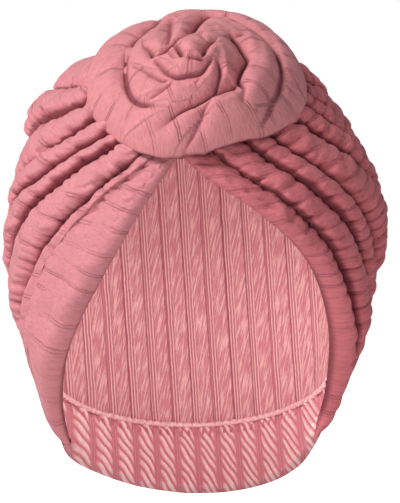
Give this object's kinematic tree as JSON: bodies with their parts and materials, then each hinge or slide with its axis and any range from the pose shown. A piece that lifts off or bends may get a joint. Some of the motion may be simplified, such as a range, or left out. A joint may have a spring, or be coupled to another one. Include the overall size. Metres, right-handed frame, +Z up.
{
  "type": "turban cap",
  "caption": "Toddler's pre-tied turban cap in dusty-rose rib knit, with gathered side folds, a coiled rosette at the top front and a hem turned up inside the nape.",
  "frame": {"origin": "the crown's inner top, where the cap sits on a head", "axes": "+Z up as worn, the face opening toward -Y, +X to the viewer's right"},
  "size_m": [0.1696, 0.1681, 0.2162],
  "materials": {
    "rose_rib_knit": "matt cotton rib knit, dusty rose",
    "raised_rib_knit": "matt raised rib knit, paler right side",
    "overlock_thread": "matt overlock stitching thread"
  },
  "bodies": {
    "root": {"cap_wall": "rose_rib_knit", "nape_hem": "raised_rib_knit", "hem_overlock_seam": "overlock_thread", "left_wrap": "rose_rib_knit", "right_wrap": "rose_rib_knit", "rosette_knob": "rose_rib_knit", "rosette_inner_coil": "rose_rib_knit", "rosette_crescent": "rose_rib_knit", "rosette_petal": "rose_rib_knit", "rosette_upper_lobe": "rose_rib_knit", "rosette_top_left_lobe": "rose_rib_knit", "rosette_left_lobe": "rose_rib_knit", "rosette_low_left_lobe": "rose_rib_knit", "rosette_under_band": "rose_rib_knit", "rosette_right_coil": "rose_rib_knit", "rosette_front_band": "rose_rib_knit", "rosette_outer_coil": "rose_rib_knit", "rosette_tail": "rose_rib_knit"}
  },
  "joints": []
}
